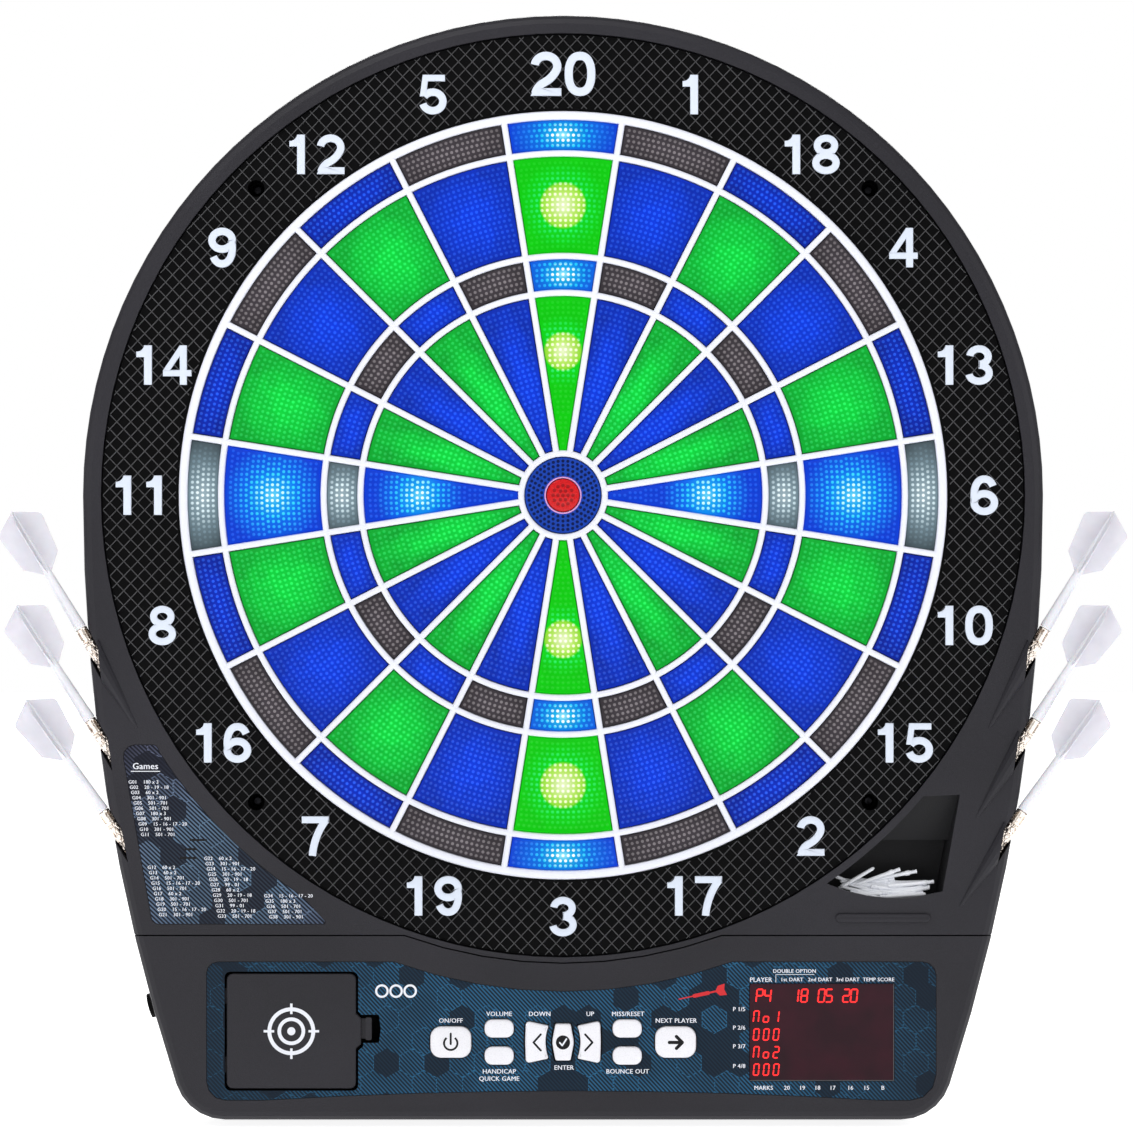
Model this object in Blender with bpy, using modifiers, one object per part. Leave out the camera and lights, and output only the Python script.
"""Electronic dartboard with its housing, target, controls, tip tray and six stored darts.

Every piece is modelled in the board's own frame: x to the right, y up the face, z out of
the wall towards the thrower, with the origin on the bull's axis at the wall. The empty
"board" turns that frame so that the face looks along -Y with +Z up. Lengths are in metres.
"""
import math

import bmesh
import bpy
from mathutils import Matrix, Vector

# Housing outline: a round top, long side arcs tangent to it, and a flat foot
HOUSING_R = 0.252
SIDE_R = 1.0
FOOT_Y = -0.3277
CORNER_R = 0.027
EDGE_R = 0.005
WALL = 0.0025

# Depths, measured out from the wall
FLOOR = 0.0022
COVER_RIM = 0.012
SKIRT_BACK = 0.0123
PLATE_BACK = 0.0355
FACE = 0.038

# Seam between the front frame and the console: flat at the sides, round under the target
SEAM_Y = -0.2305
SEAM_R = 0.245
SEAM_HALF_GAP = 0.00035

# Catch ring and target
RING_OUTER_R = 0.2416
RING_INNER_R = 0.202
RING_FACE = 0.036
RING_THICK = 0.0025
RING_WALL_R = 0.2438
RING_GAP = 0.0004
RING_SCREW = 0.1608
RING_PIT_R = 0.0045
RING_PIT_FLOOR = 0.0240
RING_CUP_BACK = 0.0225
PILOT_R = 0.0016
SPIDER_R = 0.2015
SPIDER_BACK = 0.0124
SPIDER_FRONT = 0.0366
BAR_HALF = 0.00165
RIM_INNER_R = 0.19685
DOUBLE_BAR_R = 0.1793
TRIPLE_OUTER_BAR_R = 0.1255
TRIPLE_INNER_BAR_R = 0.1062
BULL_RING_OUTER_R = 0.0236
BULL_RING_INNER_R = 0.0203
WEDGES = 20
PAD_GAP = 0.0004
PAD_FRONT = 0.0354
FLANGE_BACK = 0.0099
FLANGE_FRONT = 0.0119

# Printed sheets: laid in a recess, with a gap round them; the bar moulded above the display
SHEET_GAP = 0.0003
RECESS = 0.0008
SHEET_THICK = 0.0005
BAR_HEIGHT = 0.0016

# Console
BUTTON_FRONT = 0.040
BUTTON_FLANGE_BACK = 0.0334
BUTTON_FLANGE_FRONT = 0.0347
BUTTON_GAP = 0.0006
CONSOLE_MIDDLE_Y = -0.2862
DOOR_CENTRE = (-0.1422, -0.2806)
DOOR_SIZE = (0.0676, 0.060)
DOOR_GAP = 0.0012
DISPLAY_CENTRE = (0.1355, -0.2812)
DISPLAY_SIZE = (0.0755, 0.0507)

# Stored darts: each shoulder, where the barrel meets the shaft, and the lean from upright
DART_SHOULDERS = ((0.2531, -0.0698, 30.0), (0.2484, -0.1177, 32.0), (0.2413, -0.1657, 34.0))
DART_SHOULDER_Z = 0.0335
DART_TILT = 4.0
BARREL_R = 0.0032
BARREL_LENGTH = 0.045
TIP_LENGTH = 0.025
HOLDER_BORE_R = 0.0039
HOLDER_TUBE_R = 0.0049
SLOT_HALF = 0.0036
SLOT_INSET = 0.0055

# Rear cover: posts for the ring screws, wells for the cover screws, keyhole pockets and grille
POST_R = 0.005
WELL_BOSS_R = 0.0046
WELL_R = 0.0034
WELL_DEPTH = 0.007
KEYHOLE_X = 0.100
KEYHOLE_Y = 0.198
KEYHOLE_R = 0.0048
KEYHOLE_SLOT_HALF = 0.0022
KEYHOLE_RISE = 0.0125
POCKET_SIZE = (0.0104, 0.0229)
POCKET_WALL = 0.0015
POCKET_TOP = 0.0106
SPEAKER_CENTRE = (0.040, -0.283)
GRILLE_SLOT = (0.030, 0.0025)
GRILLE_PITCH = 0.006

# A cutter that goes right through starts and ends this far outside the solid
CLEAR_BACK = -0.010
CLEAR_FRONT = 0.050

ROUND = 108
SPIDER_ROUND = 48


# ---------------------------------------------------------------- outlines

def arc(centre, radius, start, end, steps):
    """Points on an arc between two angles in degrees, both ends included."""
    points = []
    for i in range(steps + 1):
        angle = math.radians(start + (end - start) * i / steps)
        points.append((centre[0] + radius * math.cos(angle), centre[1] + radius * math.sin(angle)))
    return points


def circle(radius, steps, centre=(0.0, 0.0)):
    """Points of a full circle."""
    return arc(centre, radius, 0.0, 360.0 - 360.0 / steps, steps - 1)


def arc_through(first, middle, last, steps):
    """Points on the arc through three points, both ends included."""
    (ax, ay), (bx, by), (cx, cy) = first, middle, last
    d = 2 * (ax * (by - cy) + bx * (cy - ay) + cx * (ay - by))
    a2, b2, c2 = ax * ax + ay * ay, bx * bx + by * by, cx * cx + cy * cy
    ux = (a2 * (by - cy) + b2 * (cy - ay) + c2 * (ay - by)) / d
    uy = (a2 * (cx - bx) + b2 * (ax - cx) + c2 * (bx - ax)) / d
    radius = math.hypot(ax - ux, ay - uy)
    start = math.degrees(math.atan2(ay - uy, ax - ux))
    end = math.degrees(math.atan2(cy - uy, cx - ux))
    turn = (end - start + 180.0) % 360.0 - 180.0
    return arc((ux, uy), radius, start, start + turn, steps)


def rounded(corners, steps=3):
    """Closed outline through (x, y, radius) corners, each rounded to its own radius."""
    outline = []
    for i, (x, y, radius) in enumerate(corners):
        if radius == 0.0:
            outline.append((x, y))
            continue
        here = Vector((x, y))
        back = (Vector(corners[i - 1][:2]) - here).normalized()
        ahead = (Vector(corners[(i + 1) % len(corners)][:2]) - here).normalized()
        half = back.angle(ahead) / 2
        centre = here + (back + ahead).normalized() * (radius / math.sin(half))
        first = here + back * (radius / math.tan(half)) - centre
        last = here + ahead * (radius / math.tan(half)) - centre
        start = math.degrees(math.atan2(first.y, first.x))
        turn = (math.degrees(math.atan2(last.y, last.x)) - start + 180.0) % 360.0 - 180.0
        outline += arc(centre, radius, start, start + turn, steps)
    return outline


def box_outline(width, height, radius=0.0, centre=(0.0, 0.0), steps=3):
    """Rounded rectangle about a centre."""
    w, h = width / 2, height / 2
    corners = [(centre[0] + sx * w, centre[1] + sy * h, radius)
               for sx, sy in ((-1, -1), (1, -1), (1, 1), (-1, 1))]
    return rounded(corners, steps)


def housing_outline(inset=0.0):
    """Outline of the whole housing, moved inwards by inset."""
    side_r = SIDE_R - inset
    corner_r = CORNER_R - inset
    side_x = SIDE_R - HOUSING_R
    corner_y = FOOT_Y + CORNER_R
    corner_x = math.sqrt((SIDE_R - CORNER_R) ** 2 - corner_y ** 2) - side_x
    meet = math.degrees(math.atan2(corner_y, corner_x + side_x))
    right_corner = arc((corner_x, corner_y), corner_r, -90.0, meet, 5)
    right_side = arc((-side_x, 0.0), side_r, meet, 0.0, 8)[1:]
    top = arc((0.0, 0.0), HOUSING_R - inset, 0.0, 180.0, ROUND // 2)[1:]
    left_side = [(-x, y) for x, y in reversed(right_side[:-1])]
    left_corner = [(-x, y) for x, y in reversed(right_corner)]
    return right_corner + right_side + top + left_side + left_corner


def below_seam(gap):
    """Everything below the seam, with the seam moved down and out by gap."""
    radius = SEAM_R + gap
    level = SEAM_Y - gap
    half = math.degrees(math.acos(-level / radius))
    far_x, far_y = 0.3, -0.4
    dip = arc((0.0, 0.0), radius, -90.0 - half, -90.0 + half, 8)
    return [(-far_x, level)] + dip + [(far_x, level), (far_x, far_y), (-far_x, far_y)]


def sector(inner_r, outer_r, wedge, margin, inner_steps, outer_steps):
    """One cell of the web: a wedge between two radii, its sides parallel to the radial bars."""
    middle = 90.0 - wedge * 360.0 / WEDGES
    half = 180.0 / WEDGES
    side = BAR_HALF + margin
    outer_half = half - math.degrees(math.asin(side / outer_r))
    inner_half = half - math.degrees(math.asin(side / inner_r))
    outer = arc((0.0, 0.0), outer_r, middle - outer_half, middle + outer_half, outer_steps)
    inner = arc((0.0, 0.0), inner_r, middle + inner_half, middle - inner_half, inner_steps)
    return outer + inner


# ---------------------------------------------------------------- making solids

def start_scene():
    """Empty the scene and make the two collections and the board's frame."""
    for obj in list(bpy.data.objects):
        bpy.data.objects.remove(obj, do_unlink=True)
    for name in ("electronic_dartboard", "cutters"):
        collection = bpy.data.collections.new(name)
        bpy.context.scene.collection.children.link(collection)
    board = bpy.data.objects.new("board", None)
    board.rotation_euler = (math.radians(90.0), 0.0, 0.0)
    bpy.data.collections["electronic_dartboard"].objects.link(board)
    return board


def add_object(name, mesh, parent, collection="cutters"):
    obj = bpy.data.objects.new(name, mesh)
    bpy.data.collections[collection].objects.link(obj)
    obj.parent = parent
    if collection == "cutters":
        obj.hide_render = True
        obj.display_type = "WIRE"
    return obj


def prism(name, loops, back, front, parent):
    """Flat outline with its holes, extruded from depth back to depth front."""
    curve = bpy.data.curves.new(name, "CURVE")
    curve.dimensions = "2D"
    curve.fill_mode = "BOTH"
    curve.extrude = (front - back) / 2
    for loop in loops:
        spline = curve.splines.new("POLY")
        spline.points.add(len(loop) - 1)
        for point, (x, y) in zip(spline.points, loop):
            point.co = (x, y, 0.0, 1.0)
        spline.use_cyclic_u = True
    source = bpy.data.objects.new(name + "_outline", curve)
    bpy.context.scene.collection.objects.link(source)
    bpy.context.view_layer.update()
    mesh = bpy.data.meshes.new_from_object(source.evaluated_get(bpy.context.evaluated_depsgraph_get()))
    bpy.data.objects.remove(source, do_unlink=True)
    mesh.name = name
    bm = bmesh.new()
    bm.from_mesh(mesh)
    bmesh.ops.remove_doubles(bm, verts=bm.verts, dist=0.00001)
    bmesh.ops.translate(bm, verts=bm.verts, vec=(0.0, 0.0, (front + back) / 2))
    if len(loops) == 1:
        bmesh.ops.dissolve_limit(bm, angle_limit=0.001, verts=bm.verts, edges=bm.edges)
    bmesh.ops.recalc_face_normals(bm, faces=bm.faces)
    bm.to_mesh(mesh)
    bm.free()
    return add_object(name, mesh, parent)


def turned(name, profile, steps, parent, closed=False):
    """Profile of (radius, height) points spun about the parent's z axis."""
    mesh = bpy.data.meshes.new(name)
    count = len(profile)
    edges = [(i, (i + 1) % count) for i in range(count if closed else count - 1)]
    mesh.from_pydata([(r, 0.0, z) for r, z in profile], edges, [])
    obj = add_object(name, mesh, parent)
    screw = obj.modifiers.new("turn", "SCREW")
    screw.axis = "Z"
    screw.steps = steps
    screw.render_steps = steps
    screw.use_merge_vertices = True
    screw.merge_threshold = 0.00001
    return obj


def disc(name, radius, back, front, parent, steps=36):
    return turned(name, [(0.0, front), (radius, front), (radius, back), (0.0, back)], steps, parent)


def boolean(obj, other, operation="DIFFERENCE"):
    """Cut, join or intersect obj with another solid."""
    modifier = obj.modifiers.new(operation.lower(), "BOOLEAN")
    modifier.operation = operation
    modifier.object = other


def bevel(obj, width, segments=1):
    """Round every sharp edge of a solid."""
    modifier = obj.modifiers.new("bevel", "BEVEL")
    modifier.width = width
    modifier.segments = segments
    modifier.limit_method = "ANGLE"
    modifier.angle_limit = math.radians(50.0)


def round_front(obj, depth, width, segments):
    """Round only the edges that lie at one depth."""
    bm = bmesh.new()
    bm.from_mesh(obj.data)
    edges = [e for e in bm.edges if all(abs(v.co.z - depth) < 0.00001 for v in e.verts)]
    bmesh.ops.bevel(bm, geom=edges, offset=width, segments=segments, profile=0.5, affect="EDGES")
    bm.to_mesh(obj.data)
    bm.free()


def material(name, colour, roughness, metallic=0.0):
    made = bpy.data.materials.get(name) or bpy.data.materials.new(name)
    made.use_nodes = True
    shader = made.node_tree.nodes["Principled BSDF"]
    shader.inputs["Base Color"].default_value = (*colour, 1.0)
    shader.inputs["Roughness"].default_value = roughness
    shader.inputs["Metallic"].default_value = metallic
    return made


def finish_part(obj, made):
    """Move a finished solid among the parts, with its material and its shading."""
    bpy.data.collections["cutters"].objects.unlink(obj)
    bpy.data.collections["electronic_dartboard"].objects.link(obj)
    obj.hide_render = False
    obj.display_type = "TEXTURED"
    obj.data.materials.clear()
    obj.data.materials.append(made)
    if obj.data.polygons:
        obj.data.shade_smooth()
        obj.data.set_sharp_from_angle(angle=math.radians(30.0))
    return obj


# ---------------------------------------------------------------- dart frames and holders

def dart_frames(board):
    """An empty on each dart's axis, at its shoulder, with +Z along the dart towards its flight."""
    frames = {}
    for side, sign in (("left", -1.0), ("right", 1.0)):
        for number, (x, y, lean) in enumerate(DART_SHOULDERS, start=1):
            lean = math.radians(lean)
            tilt = math.radians(DART_TILT)
            along = Vector((sign * math.sin(lean) * math.cos(tilt),
                            math.cos(lean) * math.cos(tilt), math.sin(tilt)))
            forward = (Vector((0.0, 0.0, 1.0)) - along * along.z).normalized()
            across = forward.cross(along)
            frame = bpy.data.objects.new(f"dart_{side}_{number}", None)
            bpy.data.collections["electronic_dartboard"].objects.link(frame)
            frame.parent = board
            frame.location = (sign * x, y, DART_SHOULDER_Z)
            frame.rotation_euler = Matrix((across, forward, along)).transposed().to_euler()
            frames[side, number] = frame
    return frames


def side_crossing(x, y, lean, offset, inset):
    """Distance down a line beside the dart's axis to where it meets the inset side arc."""
    lean = math.radians(lean)
    start = Vector((x + offset * math.cos(lean), y - offset * math.sin(lean)))
    down = Vector((-math.sin(lean), -math.cos(lean)))
    rel = start - Vector((HOUSING_R - SIDE_R, 0.0))
    b = rel.dot(down)
    c = rel.dot(rel) - (SIDE_R - inset) ** 2
    return -b + (-math.sqrt(b * b - c) if c > 0 else math.sqrt(b * b - c))


def slot_outline(x, y, lean, sign):
    """Slot through the rounded edge that lets a barrel lie in the side of the housing."""
    outside = -0.012
    down = Vector((-math.sin(math.radians(lean)), -math.cos(math.radians(lean))))
    across = Vector((-down.y, down.x))
    inner_end = side_crossing(x, y, lean, -SLOT_HALF, SLOT_INSET)
    outer_end = side_crossing(x, y, lean, SLOT_HALF, SLOT_INSET)
    outline = []
    for offset, distance in ((-1, outside), (1, outside), (1, outer_end), (-1, inner_end)):
        point = Vector((x, y)) + down * distance + across * (offset * SLOT_HALF)
        outline.append((sign * point.x, point.y))
    return outline


def add_dart_holders(frame_shell, board, frames):
    """Six tubes moulded into the front frame, each bored out and slotted at the edge."""
    inner_block = prism("holder_limit", [housing_outline(0.0009)], SKIRT_BACK + 0.001, FACE - 0.0009, board)
    round_front(inner_block, FACE - 0.0009, EDGE_R, 3)
    bulge_block = prism("bulge_limit", [housing_outline(SLOT_INSET + 0.0002)], 0.030, 0.05, board)
    narrow = 0.0031
    tip_bore = 0.002
    shoulder = -0.050
    foot = -0.076
    for (side, number), frame in frames.items():
        name = f"{side}_{number}"
        tube = turned("tube_" + name, [
            (0.0, 0.004), (HOLDER_TUBE_R, 0.004), (HOLDER_TUBE_R, shoulder),
            (narrow, shoulder - 0.004), (narrow, foot), (0.0, foot)], 10, frame)
        boolean(tube, inner_block, "INTERSECT")
        boolean(frame_shell, tube, "UNION")
    for (side, number), frame in frames.items():
        if side == "left" and number > 1:
            continue
        bulge = turned(f"bulge_{side}_{number}", [
            (0.0, -0.010), (0.0062, -0.010), (0.0010, -0.060), (0.0, -0.060)], 12, frame)
        bulge.location = (0.0, 0.0026, 0.0)
        bulge.rotation_euler = (math.radians(5.2), 0.0, 0.0)
        boolean(bulge, bulge_block, "INTERSECT")
        boolean(frame_shell, bulge, "UNION")
    for (side, number), frame in frames.items():
        name = f"{side}_{number}"
        bore = turned("bore_" + name, [
            (0.0, 0.012), (HOLDER_BORE_R, 0.012), (HOLDER_BORE_R, shoulder + 0.003),
            (tip_bore, shoulder), (tip_bore, foot + 0.0012), (0.0, foot + 0.0012)], 10, frame)
        boolean(frame_shell, bore)
        x, y, lean = DART_SHOULDERS[number - 1]
        sign = 1.0 if side == "right" else -1.0
        slot = prism("slot_" + name, [slot_outline(x, y, lean, sign)], DART_SHOULDER_Z - 0.001, 0.045, board)
        boolean(frame_shell, slot)


# ---------------------------------------------------------------- housing

def housing_block(name, board):
    """Solid block of the housing's outline with its rounded front edge."""
    block = prism(name, [housing_outline()], SKIRT_BACK, FACE, board)
    round_front(block, FACE, EDGE_R, 3)
    return block


def tray_mouth(grow=0.0):
    """Mouth of the tip tray: slanted side, round inner edge and a bowed lip."""
    inner = arc((0.0, 0.0), 0.2458 - grow, -55.8, -39.9, 6)
    lip = arc_through((0.1988 + grow, -0.2074 - grow), (0.1692, -0.2109 - grow), (0.1400, -0.2041 - grow), 6)
    return inner + [(0.2078 + grow, -0.1568 + grow)] + lip


def label_outline(grow=0.0):
    """Printed games label: upright left side, round right side along the ring."""
    hug_r = 0.2506 - grow
    curve = arc((0.0, 0.0), hug_r, -147.5, -119.5, 8)
    corners = [(-0.2312 - grow, -0.1308 + grow, 0.006)]
    corners += [(-0.2148 - grow, -0.2244 - grow, 0.004), (curve[-1][0] + grow, -0.2244 - grow, 0.001)]
    corners += [(x, y, 0.0) for x, y in reversed(curve[:-1])]
    corners += [(-0.2128 + grow, -0.1308 + grow, 0.003)]
    return rounded(corners)


def overlay_outline(grow=0.0):
    """Printed console overlay: its top edge dips along the ring and its foot bows up."""
    left, right, top, low = -0.1865 - grow, 0.1952 + grow, -0.2444 + grow, -0.3166 - grow
    half = 0.0885
    dip_r = math.hypot(half, top)
    dip_half = math.degrees(math.asin(half / dip_r))
    dip = arc((0.0, 0.0), dip_r, -90.0 + dip_half, -90.0 - dip_half, 8)
    foot = arc_through((left + 0.03, low), (0.0, low + 0.0049), (right - 0.03, low), 8)
    corners = [(left, top, 0.006), (left, low, 0.010)]
    corners += [(x, y, 0.0) for x, y in foot]
    corners += [(right, low, 0.0135), (right, top, 0.007)]
    corners += [(x, y, 0.0) for x, y in dip]
    return rounded(corners)


def door_outline(grow=0.0):
    """Battery door with the tab of its latch on the right."""
    w, h = DOOR_SIZE[0] / 2 + grow, DOOR_SIZE[1] / 2 + grow
    x, y = DOOR_CENTRE
    tab = 0.0026
    return rounded([
        (x - w, y - h, 0.003), (x + w, y - h, 0.003), (x + w, y - 0.0092 - grow, 0.0),
        (x + w + tab, y - 0.0068 - grow, 0.0), (x + w + tab, y + 0.0068 + grow, 0.0),
        (x + w, y + 0.0092 + grow, 0.0), (x + w, y + h, 0.003), (x - w, y + h, 0.003)])


def latch_recess():
    """Finger recess beside the battery door."""
    right = DOOR_CENTRE[0] + DOOR_SIZE[0] / 2 + 0.013
    left = DOOR_CENTRE[0] + DOOR_SIZE[0] / 2 + 0.002
    middle = DOOR_CENTRE[1] + 0.0012
    return [(left, middle - 0.0074), (right - 0.001, middle - 0.0074), (right, middle),
            (right - 0.001, middle + 0.0074), (left, middle + 0.0074)]


def display_opening():
    """Opening for the display window, with a gap round it."""
    width, height = DISPLAY_SIZE
    return box_outline(width + 2 * SHEET_GAP, height + 2 * SHEET_GAP, 0.001, DISPLAY_CENTRE)


def ring_screw_places():
    """The four screws that hold the catch ring down on the rear cover's posts."""
    return [(sx * RING_SCREW, sy * RING_SCREW) for sx in (-1, 1) for sy in (-1, 1)]


def cover_well_places():
    """Screw wells in the back: four in the round channel, two beside the console's corners."""
    channel_r = (RING_WALL_R + HOUSING_R - WALL) / 2
    diagonal = channel_r * math.sqrt(0.5)
    return ((-diagonal, diagonal), (diagonal, diagonal), (-channel_r, 0.0), (channel_r, 0.0),
            (-0.12, -0.3185), (0.12, -0.3185))


def keyhole(x, y):
    """Round hole for a wall screw's head with a narrow slot above it."""
    start = math.degrees(math.asin(KEYHOLE_SLOT_HALF / KEYHOLE_R))
    bottom = arc((x, y), KEYHOLE_R, 90.0 + start, 450.0 - start, 12)
    return bottom + arc((x, y + KEYHOLE_RISE), KEYHOLE_SLOT_HALF, 0.0, 180.0, 3)


def pocket(side, wall=0.0):
    """Room behind a keyhole in which the screw's head slides, grown by a wall."""
    width, height = POCKET_SIZE
    centre = (side * KEYHOLE_X, KEYHOLE_Y + KEYHOLE_RISE / 2)
    return box_outline(width + 2 * wall, height + 2 * wall, 0.003 + wall, centre)


def front_frame(board, frames, made):
    shell = housing_block("front_frame", board)
    hollow = prism("frame_hollow", [housing_outline(WALL), circle(RING_WALL_R, ROUND)],
                   SKIRT_BACK - 0.005, PLATE_BACK, board)
    boolean(shell, hollow)
    opening = circle(RING_OUTER_R + RING_GAP, ROUND)
    boolean(shell, prism("ring_opening", [opening], 0.0, CLEAR_FRONT, board))
    boolean(shell, prism("frame_foot_cut", [below_seam(-SEAM_HALF_GAP)], 0.0, CLEAR_FRONT, board))
    add_dart_holders(shell, board, frames)
    boolean(shell, prism("tray_cut", [tray_mouth()], PLATE_BACK - 0.002, CLEAR_FRONT, board))
    label_place = label_outline(SHEET_GAP)
    boolean(shell, prism("label_recess", [label_place], FACE - RECESS, CLEAR_FRONT, board))
    bar_outline = box_outline(0.0496, 0.0045, 0.0022, (0.1675, -0.2212))
    bar = prism("raised_bar", [bar_outline], FACE - 0.001, FACE + BAR_HEIGHT, board)
    round_front(bar, FACE + BAR_HEIGHT, BAR_HEIGHT / 2, 2)
    boolean(shell, bar, "UNION")
    return finish_part(shell, made)


def control_console(board, button_outlines, made):
    shell = housing_block("control_console", board)
    limit = below_seam(SEAM_HALF_GAP)
    boolean(shell, prism("console_limit", [limit], 0.0, CLEAR_FRONT, board), "INTERSECT")
    hollow = housing_outline(WALL)
    boolean(shell, prism("console_hollow", [hollow], SKIRT_BACK - 0.005, PLATE_BACK, board))
    sheet_place = overlay_outline(SHEET_GAP)
    boolean(shell, prism("overlay_recess", [sheet_place], FACE - RECESS, CLEAR_FRONT, board))
    openings = [door_outline(DOOR_GAP), display_opening()]
    openings += [grown for _, grown in button_outlines.values()]
    cut_back = PLATE_BACK - 0.002
    boolean(shell, prism("console_openings", openings, cut_back, CLEAR_FRONT, board))
    boolean(shell, prism("finger_recess_cut", [latch_recess()], cut_back, CLEAR_FRONT, board))
    socket_frame = socket_place(board)
    boolean(shell, disc("socket_hole", 0.0068, -0.006, 0.006, socket_frame, 14))
    return finish_part(shell, made), socket_frame


def rear_cover(board, made):
    """Back pan with ring screw posts, cover screw wells, keyhole pockets and speaker grille."""
    pan = prism("rear_cover", [housing_outline()], 0.0, COVER_RIM, board)
    boolean(pan, prism("pan_hollow", [housing_outline(FLOOR)], FLOOR, CLEAR_FRONT, board))
    posts = [circle(POST_R, 10, place) for place in ring_screw_places()]
    post_top = RING_CUP_BACK - 0.0003
    boolean(pan, prism("ring_posts", posts, FLOOR / 2, post_top, board), "UNION")
    pilots = [circle(PILOT_R, 6, place) for place in ring_screw_places()]
    boolean(pan, prism("ring_pilots", pilots, 0.006, CLEAR_FRONT, board))
    bosses = [circle(WELL_BOSS_R, 8, place) for place in cover_well_places()]
    bosses += [pocket(side, POCKET_WALL) for side in (-1, 1)]
    boolean(pan, prism("back_bosses", bosses, FLOOR / 2, COVER_RIM - 0.0004, board), "UNION")
    wells = [circle(WELL_R, 8, place) for place in cover_well_places()]
    boolean(pan, prism("screw_wells", wells, CLEAR_BACK, WELL_DEPTH, board))
    pockets = [pocket(side) for side in (-1, 1)]
    boolean(pan, prism("keyhole_pockets", pockets, FLOOR, POCKET_TOP, board))
    holes = [keyhole(side * KEYHOLE_X, KEYHOLE_Y) for side in (-1, 1)]
    for row in range(-2, 3):
        centre = (SPEAKER_CENTRE[0], SPEAKER_CENTRE[1] + row * GRILLE_PITCH)
        holes.append(box_outline(*GRILLE_SLOT, 0.0012, centre, 1))
    boolean(pan, prism("back_openings", holes, CLEAR_BACK, FLOOR + 0.001, board))
    return finish_part(pan, made)


# ---------------------------------------------------------------- target

def catch_ring(board, made):
    back = RING_FACE - RING_THICK
    skirt_r = RING_INNER_R + 0.0022
    skirt_end = SPIDER_BACK + 0.002
    ring = turned("catch_ring", [
        (RING_OUTER_R, RING_FACE), (RING_OUTER_R, back), (skirt_r, back), (skirt_r, skirt_end),
        (RING_INNER_R, skirt_end), (RING_INNER_R, RING_FACE)], ROUND, board, closed=True)
    cups = [circle(RING_PIT_R + 0.0015, 12, place) for place in ring_screw_places()]
    boolean(ring, prism("ring_cups", cups, RING_CUP_BACK, RING_FACE - RING_THICK / 2, board), "UNION")
    pits = [circle(RING_PIT_R, 12, place) for place in ring_screw_places()]
    boolean(ring, prism("ring_pits", pits, RING_PIT_FLOOR, CLEAR_FRONT, board))
    shanks = [circle(PILOT_R, 6, place) for place in ring_screw_places()]
    boolean(ring, prism("ring_shank_holes", shanks, 0.0, CLEAR_FRONT, board))
    return finish_part(ring, made)


def target_rings():
    """Name, inner and outer radius, and the arc steps of each ring of cells in the web."""
    return (
        ("double_segments", DOUBLE_BAR_R + BAR_HALF, RIM_INNER_R, 2, 2),
        ("outer_single_segments", TRIPLE_OUTER_BAR_R + BAR_HALF, DOUBLE_BAR_R - BAR_HALF, 2, 2),
        ("triple_segments", TRIPLE_INNER_BAR_R + BAR_HALF, TRIPLE_OUTER_BAR_R - BAR_HALF, 2, 2),
        ("inner_single_segments", BULL_RING_OUTER_R, TRIPLE_INNER_BAR_R - BAR_HALF, 1, 2),
    )


def spider(board, made):
    cells = [sector(inner, outer, wedge, 0.0, inner_steps, outer_steps)
             for _, inner, outer, inner_steps, outer_steps in target_rings() for wedge in range(WEDGES)]
    loops = [circle(SPIDER_R, SPIDER_ROUND), circle(BULL_RING_INNER_R, 20)] + cells
    return finish_part(prism("spider", loops, SPIDER_BACK, SPIDER_FRONT, board), made)


def segment_ring(board, name, inner, outer, inner_steps, outer_steps, made):
    """Twenty pads of one ring on the thin flange that joins them behind the web."""
    reach = BAR_HALF * 0.55
    flange = prism(name, [circle(outer + reach, SPIDER_ROUND), circle(inner - reach, SPIDER_ROUND)],
                   FLANGE_BACK, FLANGE_FRONT, board)
    pads = [sector(inner + PAD_GAP, outer - PAD_GAP, wedge, PAD_GAP, inner_steps, outer_steps)
            for wedge in range(WEDGES)]
    boolean(flange, prism(name + "_pads", pads, FLANGE_FRONT - 0.001, PAD_FRONT, board), "UNION")
    return finish_part(flange, made)


def bulls(board, outer_made, inner_made):
    inner_r = 0.0088
    hole_r = 0.0092
    pad_r = BULL_RING_INNER_R - PAD_GAP
    flange_r = pad_r + 0.0012
    outer = turned("outer_bull", [
        (pad_r - 0.0008, PAD_FRONT), (pad_r, PAD_FRONT - 0.0008), (pad_r, FLANGE_FRONT),
        (flange_r, FLANGE_FRONT), (flange_r, FLANGE_BACK), (hole_r, FLANGE_BACK),
        (hole_r, PAD_FRONT)], 20, board, closed=True)
    inner = turned("inner_bull", [
        (0.0, PAD_FRONT + 0.0008), (0.006, PAD_FRONT + 0.0006), (inner_r - 0.0006, PAD_FRONT),
        (inner_r, PAD_FRONT - 0.0008), (inner_r, FLANGE_BACK), (0.0, FLANGE_BACK)], 16, board)
    finish_part(outer, outer_made)
    finish_part(inner, inner_made)


def target_layers(board, rubber, film, board_green):
    """Rubber sheet, switch matrix and light board behind the segments."""
    layer_r = 0.2015
    finish_part(disc("rubber_sheet", layer_r, 0.0059, 0.0084, board), rubber)
    finish_part(disc("switch_matrix", layer_r, 0.0044, 0.0056, board), film)
    finish_part(disc("led_board", layer_r, 0.0025, 0.0041, board), board_green)


# ---------------------------------------------------------------- console pieces

def barrel_outline(width, height, bow, grow):
    """Enter button: flat ends and sides that bow outwards."""
    w, h = width / 2 + grow, height / 2 + grow
    left = arc_through((-w + bow, h), (-w, 0.0), (-w + bow, -h), 4)
    right = arc_through((w - bow, -h), (w, 0.0), (w - bow, h), 4)
    return left + right


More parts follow.
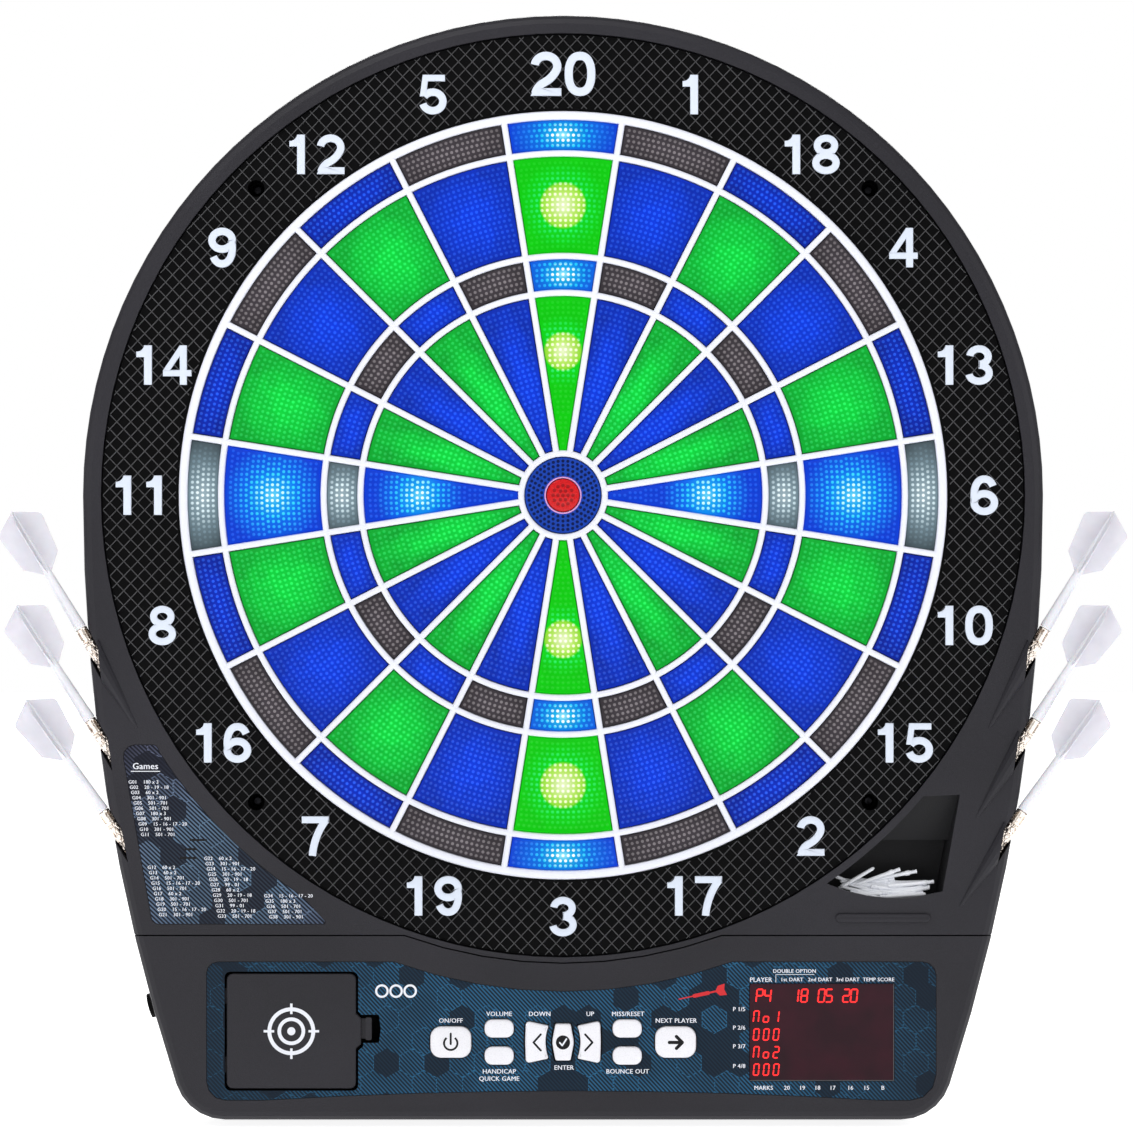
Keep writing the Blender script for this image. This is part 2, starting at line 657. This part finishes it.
def arrow_outline(sign, grow):
    """Down or up button: a tall outer side and a hollow inner side that faces the enter button."""
    outer_x, inner_x = -0.0195 - grow, -0.0075 + grow
    outer_h, inner_h = 0.01115 + grow, 0.00855 + grow
    hollow = arc_through((inner_x, -inner_h), (inner_x - 0.0016, 0.0), (inner_x, inner_h), 4)
    corners = [(outer_x, outer_h, 0.0022), (outer_x - 0.0006, 0.0, 0.0), (outer_x, -outer_h, 0.0022)]
    corners += [(x, y, 0.0) for x, y in hollow]
    outline = rounded(corners, 2)
    return outline if sign < 0 else [(-x, y) for x, y in reversed(outline)]


def button_shapes():
    """Centre of each button and its outline about that centre for a given growth."""
    middle = CONSOLE_MIDDLE_Y

    def wide(grow):
        return box_outline(0.0214 + 2 * grow, 0.0163 + 2 * grow, 0.0052 + grow, steps=2)

    def pill(grow):
        return box_outline(0.0153 + 2 * grow, 0.0094 + 2 * grow, 0.0038 + grow, steps=2)

    return {
        "on_off_button": ((-0.0587, middle), wide),
        "volume_button": ((-0.0334, middle + 0.0071), pill),
        "handicap_button": ((-0.0334, middle - 0.0071), pill),
        "down_button": ((0.0, middle), lambda grow: arrow_outline(-1, grow)),
        "enter_button": ((0.0, middle), lambda grow: barrel_outline(0.0115, 0.0192, 0.0018, grow)),
        "up_button": ((0.0, middle), lambda grow: arrow_outline(1, grow)),
        "miss_reset_button": ((0.0336, middle + 0.0071), pill),
        "bounce_out_button": ((0.0336, middle - 0.0071), pill),
        "next_player_button": ((0.0589, middle), wide),
    }


def placed_button_outlines():
    """Each button's outline and its opening's outline, on the board."""
    placed = {}
    for name, ((x, y), shape) in button_shapes().items():
        placed[name] = tuple([(px + x, py + y) for px, py in shape(grow)] for grow in (0.0, BUTTON_GAP))
    return placed


def buttons(board, made):
    """Nine caps, each with a retaining flange behind the plate."""
    for name, ((x, y), shape) in button_shapes().items():
        cap = prism(name, [shape(0.0)], BUTTON_FLANGE_BACK, BUTTON_FRONT, board)
        round_front(cap, BUTTON_FRONT, 0.0007, 2)
        rim = shape(BUTTON_GAP + 0.0003)
        flange = prism(name + "_flange", [rim], BUTTON_FLANGE_BACK, BUTTON_FLANGE_FRONT, board)
        boolean(cap, flange, "UNION")
        for solid in (cap, flange):
            solid.location = (x, y, 0.0)
        finish_part(cap, made)


def console_overlay(board, outlines, made):
    holes = [door_outline(DOOR_GAP), latch_recess(), display_opening()]
    holes += [grown for _, grown in outlines.values()]
    sheet = prism("control_overlay", [overlay_outline()], FACE - SHEET_THICK, FACE, board)
    for number, hole in enumerate(holes):
        boolean(sheet, prism(f"overlay_hole_{number}", [hole], FACE - 0.002, FACE + 0.002, board))
    return finish_part(sheet, made)


def battery_door(board, made):
    """Door with two hooks on its left edge and a sprung thumb latch on its right."""
    hinge = Vector((DOOR_CENTRE[0] - DOOR_SIZE[0] / 2, DOOR_CENTRE[1], FACE))
    right = DOOR_CENTRE[0] + DOOR_SIZE[0] / 2
    x, y = DOOR_CENTRE
    door = prism("battery_door", [door_outline()], PLATE_BACK + 0.0001, FACE, board)
    round_front(door, FACE, 0.0004, 1)
    for number, side in enumerate((-1, 1), start=1):
        hook_y = y + side * 0.018
        hook = prism(f"door_hook_{number}", [box_outline(0.008, 0.008, 0.0, (hinge.x + 0.0015, hook_y))],
                     PLATE_BACK - 0.0016, PLATE_BACK - 0.0004, board)
        neck_outline = box_outline(0.0035, 0.007, 0.0, (hinge.x + 0.003, hook_y))
        neck = prism(f"door_hook_neck_{number}", [neck_outline],
                     PLATE_BACK - 0.0010, PLATE_BACK + 0.001, board)
        boolean(door, neck, "UNION")
        boolean(door, hook, "UNION")
    web = prism("latch_web", [box_outline(0.0065, 0.0105, 0.0, (right + 0.0045, y + 0.0012))],
                PLATE_BACK - 0.0012, PLATE_BACK + 0.0008, board)
    thumb = prism("latch_thumb", [box_outline(0.0032, 0.0118, 0.0008, (right + 0.0066, y + 0.0012))],
                  PLATE_BACK - 0.0008, FACE - 0.0004, board)
    boolean(door, web, "UNION")
    boolean(door, thumb, "UNION")
    return finish_part(door, made)


def battery_tray(board, box_made, cell_made):
    """Open box of three cells lying side by side behind the door."""
    x, y = DOOR_CENTRE
    outer = (0.0590, 0.0520)
    wall = 0.0015
    box = prism("battery_box", [box_outline(*outer, 0.002, DOOR_CENTRE, 2)], 0.0140, 0.0326, board)
    inner = box_outline(outer[0] - 2 * wall, outer[1] - 2 * wall, 0.001, DOOR_CENTRE, 1)
    boolean(box, prism("battery_box_hollow", [inner], 0.0155, 0.04, board))
    finish_part(box, box_made)
    cell_r, cell_half = 0.00715, 0.0250
    for number in range(3):
        cell = turned(f"battery_{number + 1}", [
            (0.0, cell_half), (0.0027, cell_half), (0.0027, cell_half - 0.0012),
            (cell_r, cell_half - 0.0012), (cell_r, -cell_half), (0.0, -cell_half)], 12, board)
        cell.location = (x, y + (number - 1) * 0.0152, 0.0155 + cell_r + 0.0004)
        flip = -90.0 if number == 1 else 90.0
        cell.rotation_euler = (0.0, math.radians(flip), 0.0)
        finish_part(cell, cell_made)


def display(board, window_made, module_made):
    finish_part(prism("display_window", [box_outline(*DISPLAY_SIZE, 0.0008, DISPLAY_CENTRE, 1)],
                      0.0363, FACE - 0.0001, board), window_made)
    finish_part(prism("display_module", [box_outline(0.072, 0.047, 0.0, DISPLAY_CENTRE)], 0.0272, 0.0359,
                      board), module_made)


def main_electronics(board, pcb, rubber, speaker_made):
    finish_part(prism("main_board", [box_outline(0.176, 0.044, 0.002, (0.0, -0.2862), 2)], 0.0275, 0.0291,
                      board), pcb)
    finish_part(prism("keypad_mat", [box_outline(0.146, 0.030, 0.003, (0.0, CONSOLE_MIDDLE_Y), 2)], 0.0300,
                      0.0319, board), rubber)
    speaker = turned("speaker", [
        (0.0, 0.0135), (0.008, 0.0135), (0.008, 0.0095), (0.0195, 0.0045), (0.0195, 0.0026),
        (0.0175, 0.0026), (0.006, 0.0065), (0.0, 0.0065)], 16, board)
    speaker.location = (*SPEAKER_CENTRE, 0.0)
    finish_part(speaker, speaker_made)


def socket_place(board):
    """Empty on the left side wall whose +Z points out of it."""
    level = -0.2685
    side_x = SIDE_R - HOUSING_R
    reach = math.sqrt(SIDE_R ** 2 - level ** 2)
    outward = Vector(((side_x - reach) - side_x, level, 0.0)).normalized()
    place = bpy.data.objects.new("socket_place", None)
    bpy.data.collections["electronic_dartboard"].objects.link(place)
    place.parent = board
    place.location = (side_x - reach, level, 0.0225)
    place.rotation_euler = outward.to_track_quat("Z", "Y").to_euler()
    return place


def power_socket(place, made):
    """Round inlet with a centre pin, standing out of the left side wall."""
    socket = turned("power_socket", [
        (0.0, 0.0005), (0.0010, 0.0), (0.0010, -0.009), (0.0029, -0.009), (0.0029, 0.003), (0.0065, 0.003),
        (0.0065, -0.012), (0.0, -0.012)], 14, place)
    return finish_part(socket, made)


# ---------------------------------------------------------------- tip tray

def tray_basin(grow):
    """Plan of the tray behind the mouth: it reaches below the lip."""
    inner = arc((0.0, 0.0), 0.2457 - grow, -55.8, -39.9, 6)
    low = arc_through((0.1974 + grow, -0.2145 - grow), (0.1690, -0.2175 - grow), (0.1415, -0.2115 - grow), 5)
    return inner + [(0.2080 + grow, -0.1566 + grow)] + low


def tray_side(grow, name, board):
    """Side view of the tray: a back that slopes down to an edge, then a deep bin."""
    profile = [(-0.1500, 0.0400), (-0.1560, 0.0322 - grow), (-0.1819, 0.0205 - grow),
               (-0.1819, 0.0080 - grow), (-0.2300, 0.0080 - grow), (-0.2300, 0.0400)]
    block = prism(name, [profile], -0.3, 0.3, board)
    block.rotation_euler = (math.radians(90.0), 0.0, math.radians(90.0))
    return block


def tip_tray(board, made):
    wall = 0.0013
    tray = prism("tip_tray", [tray_basin(wall)], 0.0050, PLATE_BACK - 0.0003, board)
    boolean(tray, tray_side(wall, "tray_outer_side", board), "INTERSECT")
    hollow = prism("tray_hollow", [tray_basin(0.0)], 0.0020, 0.05, board)
    boolean(hollow, tray_side(0.0, "tray_inner_side", board), "INTERSECT")
    boolean(tray, hollow)
    return finish_part(tray, made)


def spare_tips(board, made):
    """The heap of spare soft tips as one low mound in the bin."""
    top = [(0.1945, -0.2040), (0.1850, -0.2000), (0.1760, -0.1965), (0.1650, -0.1975), (0.1560, -0.2010),
           (0.1450, -0.2060)]
    low = [(0.1560, -0.2120), (0.1690, -0.2150), (0.1900, -0.2130)]
    heap = prism("spare_tips", [top + low], 0.0100, 0.0330, board)
    bevel(heap, 0.0015)
    return finish_part(heap, made)


# ---------------------------------------------------------------- darts

def kite(parent, name, turn):
    """One pair of opposite wings of a flight, as a thin plate through the dart's axis."""
    half = 0.00025
    outline = [(-0.0015, 0.0340), (-0.0100, 0.0416), (-0.0131, 0.0630), (0.0, 0.0706),
               (0.0131, 0.0630), (0.0100, 0.0416), (0.0015, 0.0340)]
    plate = prism(name, [outline], -half, half, parent)
    plate.rotation_euler = Matrix(((1, 0, 0), (0, 0, -1), (0, 1, 0))).to_euler()
    plate.rotation_euler.rotate_axis("Y", math.radians(turn))
    return plate


def dart(name, frame, tip_made, barrel_made, flight_made):
    gap = 0.0003
    tip_end = BARREL_LENGTH + TIP_LENGTH
    tip = turned(name + "_tip", [
        (0.0, -BARREL_LENGTH - gap), (0.0026, -BARREL_LENGTH - gap), (0.0026, -BARREL_LENGTH - 0.0015),
        (0.0014, -BARREL_LENGTH - 0.003), (0.0011, -tip_end + 0.002), (0.0, -tip_end)], 8, frame)
    finish_part(tip, tip_made)
    barrel = turned(name + "_barrel", [
        (0.0, 0.0), (0.0029, 0.0), (BARREL_R, -0.0006), (BARREL_R, -0.0080), (0.0029, -0.0084),
        (0.0029, -0.0096), (BARREL_R, -0.0100), (BARREL_R, -0.0400), (0.0027, -BARREL_LENGTH),
        (0.0, -BARREL_LENGTH)], 10, frame)
    finish_part(barrel, barrel_made)
    shaft = turned(name + "_flight_shaft", [
        (0.0, 0.0711), (0.0006, 0.0709), (0.0021, 0.0340), (BARREL_R, 0.0012), (0.0030, gap),
        (0.0, gap)], 8, frame)
    for number, turn in enumerate((0.0, 90.0)):
        boolean(shaft, kite(frame, f"{name}_wings_{number}", turn), "UNION")
    finish_part(shaft, flight_made)


def ring_screws(board, made):
    """Pan head screws deep in the catch ring's pits."""
    seat = RING_PIT_FLOOR + 0.0003
    for number, (x, y) in enumerate(ring_screw_places(), start=1):
        screw = turned(f"ring_screw_{number}", [
            (0.0, seat + 0.0024), (0.0018, seat + 0.0022), (0.0032, seat + 0.0010), (0.0032, seat),
            (0.0011, seat), (0.0011, 0.0095), (0.0, 0.0080)], 10, board)
        screw.location = (x, y, 0.0)
        finish_part(screw, made)


# ---------------------------------------------------------------- the whole board

def build():
    board = start_scene()
    frames = dart_frames(board)
    charcoal = material("charcoal_plastic", (0.060, 0.058, 0.068), 0.55)
    dark = material("dark_plastic", (0.022, 0.022, 0.026), 0.50)
    black = material("black_plastic", (0.006, 0.006, 0.007), 0.40)
    white = material("white_plastic", (0.78, 0.78, 0.80), 0.35)
    green = material("green_plastic", (0.010, 0.480, 0.050), 0.40)
    blue = material("blue_plastic", (0.005, 0.040, 0.450), 0.40)
    red = material("red_plastic", (0.550, 0.004, 0.006), 0.40)
    rubber = material("grey_rubber", (0.080, 0.080, 0.085), 0.80)
    film = material("switch_film", (0.550, 0.500, 0.350), 0.40)
    pcb = material("circuit_board", (0.010, 0.120, 0.050), 0.45)
    print_navy = material("printed_film", (0.008, 0.014, 0.024), 0.30)
    window = material("display_tint", (0.020, 0.002, 0.005), 0.10)
    steel = material("zinc_steel", (0.560, 0.560, 0.580), 0.30, 1.0)
    brass = material("nickel_brass", (0.620, 0.560, 0.480), 0.25, 1.0)
    flight = material("flight_plastic", (0.820, 0.820, 0.850), 0.35)
    cell_wrap = material("cell_wrap", (0.030, 0.030, 0.120), 0.35)

    outlines = placed_button_outlines()
    front_frame(board, frames, charcoal)
    _, socket_frame = control_console(board, outlines, charcoal)
    rear_cover(board, dark)
    catch_ring(board, black)
    spider(board, white)
    ring_colours = (blue, green, blue, green)
    for ring, made in zip(target_rings(), ring_colours):
        segment_ring(board, *ring, made)
    bulls(board, blue, red)
    target_layers(board, rubber, film, pcb)
    console_overlay(board, outlines, print_navy)
    label = prism("games_label", [label_outline()], FACE - SHEET_THICK, FACE, board)
    finish_part(label, print_navy)
    buttons(board, white)
    battery_door(board, charcoal)
    battery_tray(board, dark, cell_wrap)
    display(board, window, black)
    main_electronics(board, pcb, rubber, black)
    power_socket(socket_frame, black)
    tip_tray(board, dark)
    spare_tips(board, white)
    for (side, number), frame in frames.items():
        dart(f"dart_{side}_{number}", frame, white, brass, flight)
    ring_screws(board, steel)


build()
